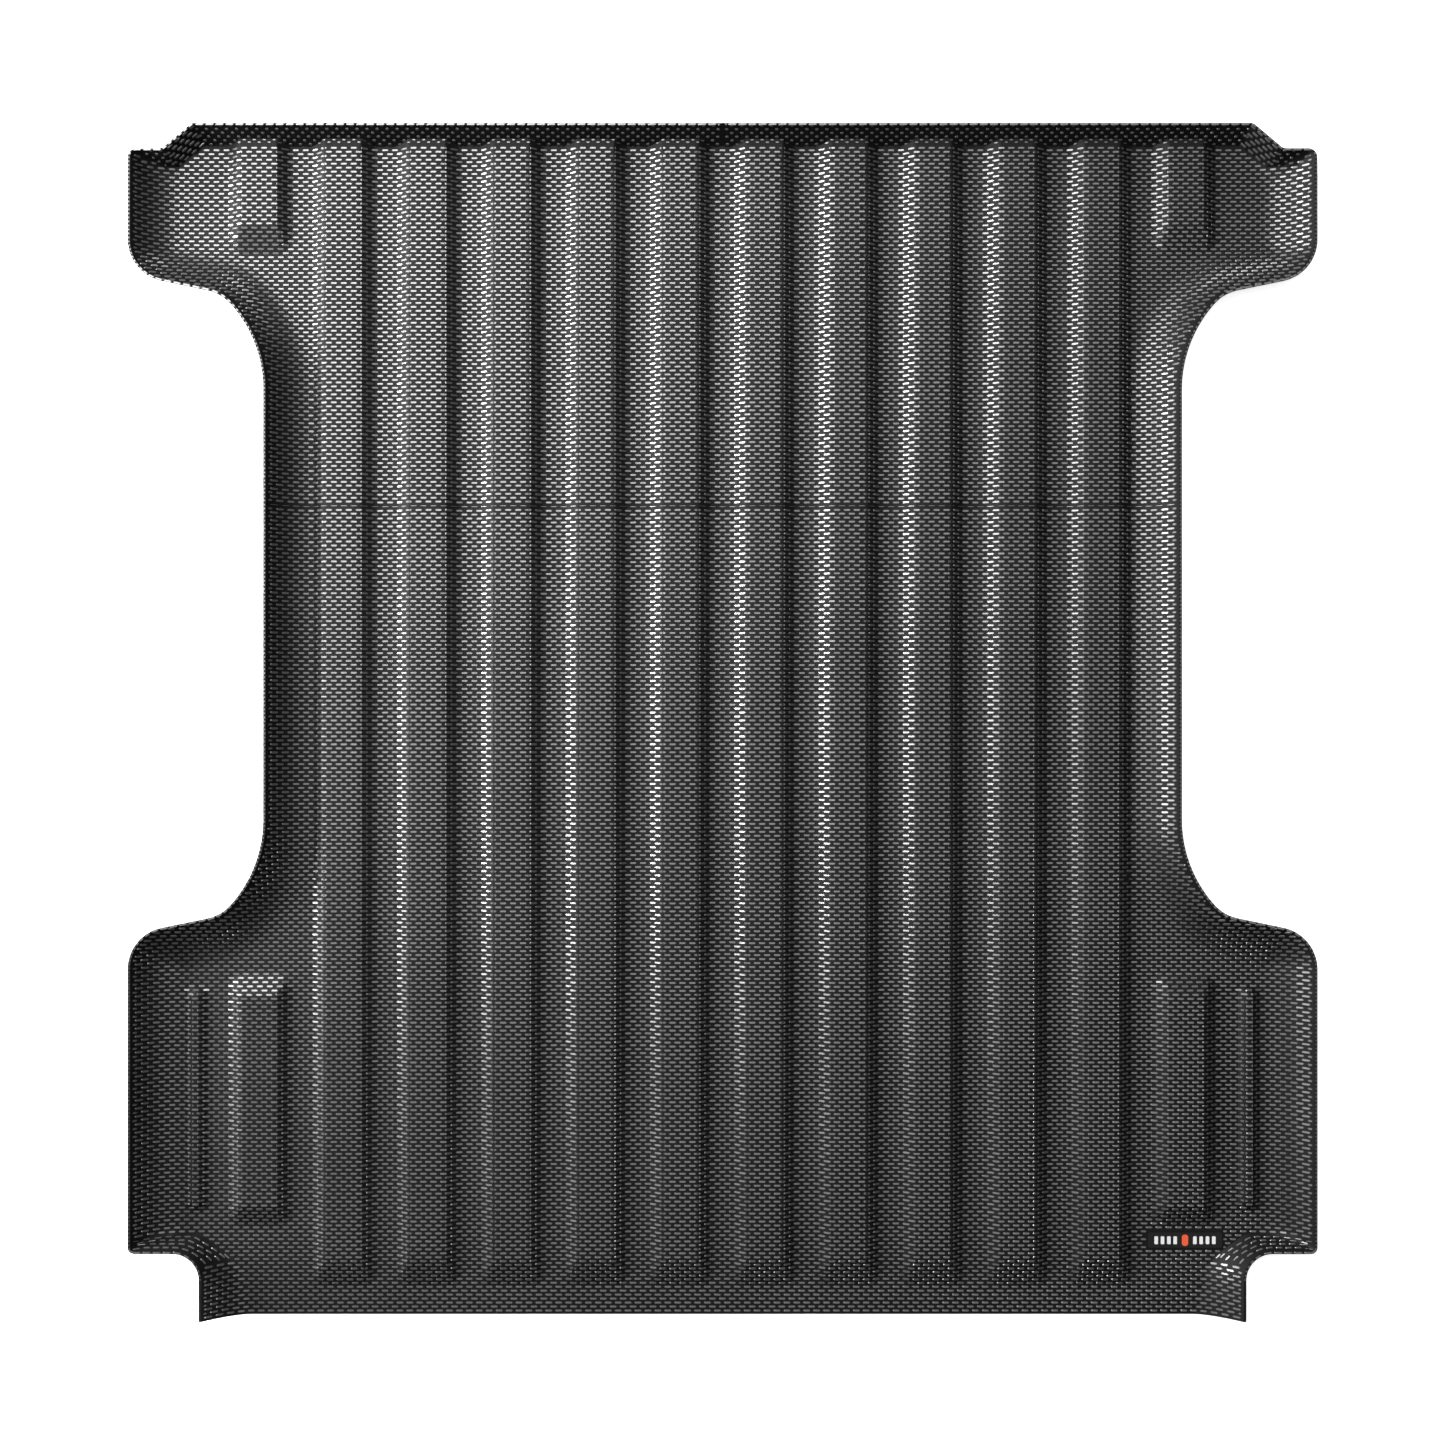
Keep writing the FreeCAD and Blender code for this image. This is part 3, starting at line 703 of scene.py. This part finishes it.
def floor_shapes(middles, lengths):
    """Plan shapes of the floor's dashes, narrow in the row at the mould's cross line."""
    shapes = dash_shape(lengths, DASH_WIDTH)
    at_seam = np.abs(middles[:, 1] - SEAM_ROW) < ROW_PITCH / 2
    shapes[at_seam, :, 1] *= SEAM_NARROW
    return shapes


def along_path(path, first):
    """Middles and headings of dashes spaced along a path, the first at a distance from its start."""
    lengths = lengths_along(path)
    places = np.arange(first, lengths[-1] - DASH_LENGTH / 4, DASH_PITCH)
    before = points_at(path, lengths, places - HEADING_REACH)
    after = points_at(path, lengths, places + HEADING_REACH)
    headings = after - before
    headings /= np.linalg.norm(headings, axis=1)[:, None]
    return points_at(path, lengths, places), headings


def joined(rows):
    """Rows of dashes put together: one array for each of the things that a row holds."""
    return [np.concatenate(part) for part in zip(*rows)]


def front_wall_dashes():
    """Rows along the front wall, its chamfer and its step, evenly spaced up the wall.

    Gives middles, headings, lengths and how much narrower each dash is in plan.
    """
    count = int(WALL / ROW_PITCH)
    rows = []
    for row in range(count):
        depth = (row + FIRST_FRONT_ROW) / count * FRONT_RUN
        path = offset_inwards(FRONT, depth, PATH_STEP)
        path = path[nearest(path, FRONT)[0] > depth - PATH_TOLERANCE]
        middles, headings = along_path(path, (row % 2) * DASH_PITCH / 2)
        lengths = np.where(np.abs(headings[:, 0]) > STRAIGHT, WALL_DASH_LENGTH, DASH_LENGTH)
        middles, headings, lengths = clipped(middles, headings, lengths, on_front_sheet)
        rows.append((middles, headings, lengths, np.full(len(middles), FRONT_RUN / count / ROW_PITCH)))
    return joined(rows)


def notch_foot(count):
    """A number of evenly spaced points on the line where the notch's wall meets the floor."""
    foot = resample(FOOT[FOOT[:, 1] > NOTCH_END], PATH_STEP)
    return points_at(foot, np.linspace(0, 1, len(foot)), np.linspace(0, 1, count))


def notch_wall_dashes():
    """Rows round the rear notch, between the wall's foot and the rim; more of them where it is wide.

    Gives middles, headings, lengths and how much narrower each dash is in plan.
    """
    rim = resample(REAR[REAR[:, 1] > NOTCH_END - PATH_TOLERANCE], PATH_STEP)
    foot = notch_foot(len(rim))
    rows = []
    for level in range(1, 2 * NOTCH_ROWS):
        path = (foot + (rim - foot) * (level / (2 * NOTCH_ROWS)))[::-1]
        start = (NOTCH_START + NOTCH_STAGGER * (level % 4 > 1)) * DASH_LENGTH
        middles, headings = along_path(path, start)
        lengths = np.full(len(middles), DASH_LENGTH)
        middles, headings, lengths = clipped(middles, headings, lengths, on_sheet)
        width = nearest(middles, REAR)[0] + nearest(middles, FOOT)[0]
        keep = width > (WIDE_NOTCH if level % 2 else 0)
        thin = width / np.hypot(width, WALL)
        rows.append((middles[keep], headings[keep], lengths[keep], thin[keep]))
    return joined(rows)


def both_sides(middles, headings, lengths, thin):
    """The same dashes on the right and, mirrored, on the left."""
    off_axis = middles[:, 0] > 1
    return (np.vstack([middles, middles[off_axis] * (-1, 1)]),
            np.vstack([headings, headings[off_axis] * (1, -1)]),
            np.r_[lengths, lengths[off_axis]],
            np.r_[thin, thin[off_axis]])


def place_dashes(middles, headings, shapes):
    """3-D corners of dashes: a ring in the sheet and a smaller one above it, square to the surface."""
    count, corners = shapes.shape[:2]
    left = np.stack([-headings[:, 1], headings[:, 0]], 1)
    plan = middles[:, None] + shapes[..., :1] * headings[:, None] + shapes[..., 1:] * left[:, None]
    base = faces_of_sheet(plan.reshape(-1, 2))[0].reshape(count, corners, 3)
    middle = faces_of_sheet(middles)[0]
    east = faces_of_sheet(middles + (PROBE, 0))[0] - faces_of_sheet(middles - (PROBE, 0))[0]
    north = faces_of_sheet(middles + (0, PROBE))[0] - faces_of_sheet(middles - (0, PROBE))[0]
    normal = np.cross(east, north)
    normal /= np.linalg.norm(normal, axis=1)[:, None]
    top = middle[:, None] + (base - middle[:, None]) * DASH_TAPER + normal[:, None] * DASH_RISE
    return np.concatenate([base - normal[:, None] * DASH_SINK, top], 1)


def rim_pads():
    """Short pads along the cut edge at the rim, longer where the edge runs across, on the right half."""
    line = OUTLINE[OUTLINE[:, 1] > PATH_TOLERANCE - HALF_LENGTH]
    lengths = lengths_along(line)
    pads = []
    place = 0.0
    while place < lengths[-1]:
        behind = points_at(line, lengths, place - 1)
        ahead = points_at(line, lengths, place + 1)
        heading = (ahead - behind) / np.linalg.norm(ahead - behind)
        inward = np.array([heading[1], -heading[0]])
        across = abs(heading[0]) ** 3
        shape = dash_shape(RIM_PAD + (LONG_RIM_PAD - RIM_PAD) * across,
                           LIP * (PAD_WIDTH + PAD_WIDTH_ACROSS * across))
        centre = (behind + ahead) / 2 + inward * LIP / 2
        ring = centre + shape[:, :1] * heading - shape[:, 1:] * inward
        base = np.c_[ring, np.full(len(ring), RIM - PAD_SINK)]
        middle = base.mean(0)
        pads.append(np.vstack([base, middle + (base - middle) * PAD_TAPER + (0, 0, PAD_RISE)]))
        place += ROW_PITCH + (DASH_PITCH - ROW_PITCH) * across
    return np.array(pads)


def mirrored_blocks(blocks):
    """The same blocks on the other side, their rings turned round so that faces still point out."""
    half = blocks.shape[1] // 2
    return np.concatenate([blocks[:, :half][:, ::-1], blocks[:, half:][:, ::-1]], 1) * (-1, 1, 1)


def dash_mesh(corners):
    """Vertices and faces of many dashes, each a closed low block."""
    count, size = corners.shape[0], corners.shape[1] // 2
    start = np.arange(count)[:, None] * 2 * size
    ring = np.arange(size)
    following = np.roll(ring, -1)
    sides = np.stack([ring, following, following + size, ring + size], 1)
    polygons = (start[:, None] + sides[None]).reshape(-1, 4).tolist()
    polygons += (start + ring + size).tolist()
    polygons += (start + ring[::-1]).tolist()
    return corners.reshape(-1, 3), polygons


# ---------------------------------------------------------------- materials

def grey(value):
    """A neutral colour."""
    return (value, value, value)


def material(name, dark, light, rough, grain_size, grain_depth, specular):
    """A moulded plastic: mottled colour, uneven gloss and a fine grain."""
    made = bpy.data.materials.new(name)
    made.use_nodes = True
    nodes = made.node_tree.nodes
    links = made.node_tree.links
    shader = nodes["Principled BSDF"]
    shader.inputs["Specular IOR Level"].default_value = specular
    place = nodes.new("ShaderNodeTexCoord").outputs["Object"]
    mottle = nodes.new("ShaderNodeTexNoise")
    mottle.inputs["Scale"].default_value = MOTTLE_SCALE
    mottle.inputs["Detail"].default_value = 6.0
    grain = nodes.new("ShaderNodeTexNoise")
    grain.inputs["Scale"].default_value = 1 / (grain_size * MM)
    grain.inputs["Detail"].default_value = 2.0
    ramp = nodes.new("ShaderNodeMix")
    ramp.data_type = "RGBA"
    ramp.inputs["A"].default_value = tuple(dark) + (1,)
    ramp.inputs["B"].default_value = tuple(light) + (1,)
    gloss = nodes.new("ShaderNodeMapRange")
    gloss.inputs["To Min"].default_value = rough - ROUGH_SPREAD
    gloss.inputs["To Max"].default_value = rough + ROUGH_SPREAD
    bump = nodes.new("ShaderNodeBump")
    bump.inputs["Distance"].default_value = grain_depth * MM
    links.new(place, mottle.inputs["Vector"])
    links.new(place, grain.inputs["Vector"])
    links.new(mottle.outputs["Fac"], ramp.inputs["Factor"])
    links.new(ramp.outputs["Result"], shader.inputs["Base Color"])
    links.new(mottle.outputs["Fac"], gloss.inputs["Value"])
    links.new(gloss.outputs["Result"], shader.inputs["Roughness"])
    links.new(grain.outputs["Fac"], bump.inputs["Height"])
    links.new(bump.outputs["Normal"], shader.inputs["Normal"])
    return made


# name, dark and light colour, roughness, size and depth of the grain, specular level
# the ground's colour is painted shade: it is darker than the black rubber itself, so that the floor
# between the dashes reads as lying in shadow; its mottle and grain are the rubber's own
TRAY_SHADED_LOOK = material("tray_ground_painted_shade", grey(0.0018), grey(0.0036), 0.55, 1.1, 0.10, 0.09)
# the dashes' colour is a painted highlight: they are a lighter copy of the same black rubber as the
# ground, standing for the light that their tops catch; the rim pads take it too
DASH_LIT_LOOK = material("tray_dash_painted_highlight", grey(0.026), grey(0.042), 0.33, 0.8, 0.05, 1.0)
PLATE_LOOK = material("badge_black", grey(0.003), grey(0.006), 0.48, 0.7, 0.02, 0.12)
PALE_LOOK = material("badge_pale", grey(0.34), grey(0.44), 0.45, 0.6, 0.03, 0.3)
ORANGE = ((0.34, 0.040, 0.013), (0.42, 0.055, 0.018))
ACCENT_LOOK = material("badge_orange", *ORANGE, 0.45, 0.6, 0.03, 0.3)
FILM_LOOK = material("badge_film", grey(0.55), grey(0.68), 0.6, 0.6, 0.03, 0.3)


# ---------------------------------------------------------------- pieces

def add_piece(name, vertices, polygons, look):
    """A piece of the visual model, on the part's one body."""
    mesh = bpy.data.meshes.new(name)
    mesh.from_pydata((vertices * MM).tolist(), [], polygons)
    mesh.materials.append(look)
    mesh.shade_smooth()
    mesh.set_sharp_from_angle(angle=CREASE)
    mesh.validate()
    piece = bpy.data.objects.new(name, mesh)
    bpy.context.scene.collection.objects.link(piece)
    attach(piece, "root")
    return piece


def add_tray():
    """The sheet, in place of the CAD's smooth tray."""
    vertices, polygons = tray_mesh()
    # the sheet takes the painted-shade material
    tray = add_piece("liner_sheet", vertices, polygons, TRAY_SHADED_LOOK)
    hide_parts("liner_tray")


def dash_blocks():
    """Corners of every dash and pad."""
    middles, headings, lengths = floor_dashes()
    blocks = [place_dashes(middles, headings, floor_shapes(middles, lengths))]
    for rows in (front_wall_dashes(), notch_wall_dashes()):
        middles, headings, lengths, thin = both_sides(*rows)
        shapes = dash_shape(lengths, DASH_WIDTH)
        shapes[..., 1] *= thin[:, None]
        blocks.append(place_dashes(middles, headings, shapes))
    pads = rim_pads()
    return np.concatenate(blocks + [pads, mirrored_blocks(pads)])


def add_dashes():
    """The dashes, in one piece for each quarter of the tray."""
    blocks = dash_blocks()
    centres = blocks.mean(1)
    ahead = centres[:, 1] >= 0
    right = centres[:, 0] >= 0
    quarters = {"front_left": ahead & ~right, "front_right": ahead & right,
                "rear_left": ~ahead & ~right, "rear_right": ~ahead & right}
    for name, pick in quarters.items():
        vertices, polygons = dash_mesh(blocks[pick])
        # the dashes take the painted-highlight material
        piece = add_piece("grip_dashes_" + name, vertices, polygons, DASH_LIT_LOOK)


def dress_badge():
    """New materials for the badge's CAD nodes."""
    looks = {"badge_plate": PLATE_LOOK, "badge_pale_bars": PALE_LOOK,
             "badge_accent": ACCENT_LOOK, "badge_adhesive_film": FILM_LOOK}
    for node, look in looks.items():
        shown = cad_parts[node]
        shown.data.materials.clear()
        shown.data.materials.append(look)


# ---------------------------------------------------------------- stage, light and camera

def studio_look(name, shade, rough, specular, glow):
    """A plain grey surface that gives off white light of its own."""
    look = bpy.data.materials.new(name)
    look.use_nodes = True
    shader = look.node_tree.nodes["Principled BSDF"]
    shader.inputs["Base Color"].default_value = (shade, shade, shade, 1)
    shader.inputs["Roughness"].default_value = rough
    shader.inputs["Specular IOR Level"].default_value = specular
    shader.inputs["Emission Color"].default_value = (1, 1, 1, 1)
    shader.inputs["Emission Strength"].default_value = glow
    return look


def add_stage_piece(name, mesh, look):
    """An object of the studio, which isn't part of the visual model."""
    mesh.materials.append(look)
    piece = bpy.data.objects.new(name, mesh)
    bpy.context.scene.collection.objects.link(piece)
    return piece


def add_floor():
    """A plain pale floor."""
    mesh = bpy.data.meshes.new("studio_floor")
    corners = [(i * FLOOR_REACH, j * FLOOR_REACH, 0) for i, j in ((-1, -1), (1, -1), (1, 1), (-1, 1))]
    mesh.from_pydata(corners, [], [(0, 1, 2, 3)])
    add_stage_piece("studio_floor", mesh, studio_look("studio_floor", 0.9, 0.9, 0.1, FLOOR_GLOW))


def add_backdrop():
    """A plain pale surround for low views, seen by the camera alone, so that it lights nothing."""
    mesh = bpy.data.meshes.new("studio_backdrop")
    form = bmesh.new()
    bmesh.ops.create_uvsphere(form, u_segments=64, v_segments=32, radius=BACKDROP_RADIUS)
    form.to_mesh(mesh)
    form.free()
    look = studio_look("studio_backdrop", 0.0, 0.5, 0.0, BACKDROP_GLOW)
    backdrop = add_stage_piece("studio_backdrop", mesh, look)
    backdrop.visible_diffuse = False
    backdrop.visible_glossy = False
    backdrop.visible_transmission = False
    backdrop.visible_shadow = False


def add_light(name, place, target, size, power):
    """A soft rectangular light that points at a target."""
    data = bpy.data.lights.new(name, "AREA")
    data.shape = "RECTANGLE"
    data.size = size[0]
    data.size_y = size[1]
    data.energy = power
    light = bpy.data.objects.new(name, data)
    light.location = place
    light.rotation_euler = (Vector(target) - Vector(place)).to_track_quat("-Z", "Y").to_euler()
    bpy.context.scene.collection.objects.link(light)


def add_world():
    """A faint white light from all round."""
    world = bpy.data.worlds.new("studio")
    world.use_nodes = True
    shade = world.node_tree.nodes["Background"]
    shade.inputs["Color"].default_value = (1, 1, 1, 1)
    shade.inputs["Strength"].default_value = WORLD_STRENGTH
    bpy.context.scene.world = world


def add_camera():
    """The photo's camera, straight above the tray's middle."""
    data = bpy.data.cameras.new("camera")
    data.lens = CAMERA_LENS
    data.sensor_width = SENSOR
    data.clip_end = 100
    camera = bpy.data.objects.new("camera", data)
    camera.location = (0, 0, CAMERA_HEIGHT)
    bpy.context.scene.collection.objects.link(camera)
    bpy.context.scene.camera = camera


add_tray()
add_dashes()
dress_badge()
add_floor()
add_backdrop()
add_world()
for light in LIGHTS:
    add_light(*light)
add_camera()
bpy.context.scene.view_settings.view_transform = "Standard"
